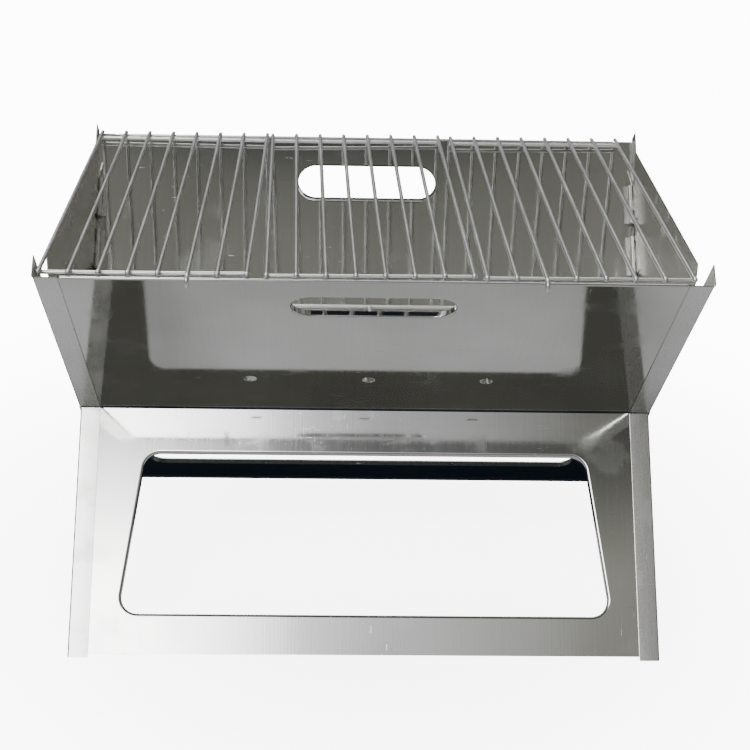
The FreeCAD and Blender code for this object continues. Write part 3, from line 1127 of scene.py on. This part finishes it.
@dataclass
class Studio:
    """Floor, soft lights, surroundings and camera."""

    lights: tuple = (
        Softbox("key", (-1.15, -1.25, 1.75), (0.0, 0.0, 0.15), (0.9, 0.7), 12.0),
        Softbox("overhead", (0.0, 0.25, 2.2), (0.0, 0.0, 0.2), (1.8, 0.6), 8.0),
        Softbox("back", (0.0, 1.9, 2.4), (0.0, 0.2, 0.0), (2.4, 1.0), 14.0))
    view_place: tuple = (-0.0318, -1.1322, 0.7125)
    view_turn_deg: tuple = (64.467, -1.359, -1.288)
    view_lens: float = 76.63
    view_sensor: float = 36.0
    floor_size: float = 24.0
    # Glow of the floor near the grill and far off; the weaker glow near it is painted shade under the grill.
    floor_glow_with_painted_shade: tuple = (6.0, 12.0)
    # Where the floor's painted reflections turn from grey in front to near black behind, and those two
    # colours, which the floor shows only to reflections.
    painted_reflection_edge_y: tuple = (0.030, 0.045)
    front_painted_reflection: tuple = (0.27, 0.27, 0.275)
    rear_painted_reflection: tuple = (0.004, 0.007, 0.011)
    window_strength: float = 13.0
    by_height: tuple = ((0.0, (0.125, 0.125, 0.115)), (0.50, (0.11, 0.11, 0.10)), (0.64, (0.80, 0.80, 0.82)),
                        (0.755, (1.0, 1.0, 1.0)), (0.79, (0.40, 0.40, 0.41)), (0.825, (0.10, 0.10, 0.103)),
                        (0.85, (0.31, 0.31, 0.285)), (0.9055, (0.19, 0.19, 0.17)),
                        (0.908, (0.010, 0.016, 0.024)), (1.0, (0.02, 0.022, 0.026)))
    by_side: tuple = ((-0.60, (0.12, 0.12, 0.12)), (-0.32, (0.55, 0.55, 0.56)), (-0.12, (1.0, 1.0, 1.0)),
                      (-0.07, (0.55, 0.55, 0.57)), (-0.02, (0.17, 0.17, 0.175)),
                      (0.03, (0.085, 0.085, 0.088)), (0.17, (0.030, 0.030, 0.027)),
                      (1.0, (0.03, 0.03, 0.028)))
    all_round: tuple = (0.080, 0.080, 0.080)

    def floor(self) -> None:
        """A pale floor with a faint mottle that glows, less near the grill than far off: painted shade under
        the grill. To reflections it shows painted reflections instead, grey in front and near black behind.
        """
        mesh = bpy.data.meshes.new("floor")
        h = self.floor_size / 2.0
        mesh.from_pydata([(-h, -h, 0.0), (h, -h, 0.0), (h, h, 0.0), (-h, h, 0.0)], [], [(0, 1, 2, 3)])
        made = bpy.data.objects.new("floor", mesh)
        bpy.context.scene.collection.objects.link(made)
        material, g = Graph.material("floor_pale")
        seen = g.node("ShaderNodeLightPath", {}, {}).value("Is Camera Ray")
        here = g.node("ShaderNodeTexCoord", {}, {}).value("Object")
        behind = g.node("ShaderNodeSeparateXYZ", {}, {0: here}).value("Y").band(*self.painted_reflection_edge_y)
        # Painted reflection: grey in front of the grill, near black behind it.
        painted_reflection_colour = g.mix(behind, self.front_painted_reflection, self.rear_painted_reflection)
        pale = g.mix(g.noise((3.0, 3.0, 3.0)), (0.90, 0.90, 0.90), (0.94, 0.94, 0.94))
        distance = g.node("ShaderNodeVectorMath", {"operation": "LENGTH"}, {0: here}).value("Value")
        away = distance.band(0.1, 0.7)
        # The floor glows less near the grill than far off: painted shade under the grill.
        near, far = ((glow, glow, glow) for glow in self.floor_glow_with_painted_shade)
        g.feed(g.shader.inputs["Base Color"], g.mix(seen, painted_reflection_colour, pale))
        g.feed(g.shader.inputs["Emission Color"], g.mix(seen, painted_reflection_colour, g.mix(away, near, far)))
        g.shader.inputs["Roughness"].default_value = 0.6
        g.shader.inputs["Emission Strength"].default_value = 1.0
        mesh.materials.append(material)
        made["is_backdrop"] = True

    def surroundings(self) -> None:
        """A dim room with a band of windows half way up, brightest a little to the left, and a dark ceiling.

        The view itself ends in plain white, so the room is only met in reflections.
        """
        world = bpy.data.worlds.new("studio_room")
        bpy.context.scene.world = world
        world.use_nodes = True
        g = Graph(world.node_tree, "Background")
        direction = g.node("ShaderNodeTexCoord", {}, {}).value("Generated")
        way = g.node("ShaderNodeSeparateXYZ", {}, {0: direction})
        up = way.value("Z")
        window = up.band(0.50, 0.62) * (1.0 - up.band(0.825, 0.85))
        across = g.mix(window, self.all_round, g.ramp(way.value("X"), self.by_side))
        room = g.mix(1.0, g.ramp(up, self.by_height), across, "MULTIPLY")
        seen = g.node("ShaderNodeLightPath", {}, {}).value("Is Camera Ray")
        g.feed(g.shader.inputs["Color"], g.mix(seen, room, (1.0, 1.0, 1.0)))
        g.shader.inputs["Strength"].default_value = self.window_strength

    def camera(self) -> None:
        """The main view, from the front and above."""
        data = bpy.data.cameras.new("main_view")
        data.sensor_width = self.view_sensor
        data.lens = self.view_lens
        made = bpy.data.objects.new("main_view", data)
        made.location = self.view_place
        made.rotation_euler = tuple(math.radians(a) for a in self.view_turn_deg)
        bpy.context.scene.collection.objects.link(made)
        bpy.context.scene.camera = made

    def build(self) -> None:
        """Set up the studio."""
        self.floor()
        self.surroundings()
        for light in self.lights:
            light.build()
        self.camera()


def corners(box: tuple) -> list:
    """A box's two corners as plain lists of numbers."""
    return [[float(c) for c in corner] for corner in box]


def main() -> None:
    """Dress the frame, build every piece in order and set up the studio."""
    logging.basicConfig(level=logging.INFO, format="%(message)s")
    cad_box = corners(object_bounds())
    dresser = Dresser()
    dresser.dress_frame()
    SheetFrames().build(dresser)
    WireWork().build(dresser)
    Studio().build()
    {"cad": cad_box, "visual": corners(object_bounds())}


if __name__ == "__main__":
    main()
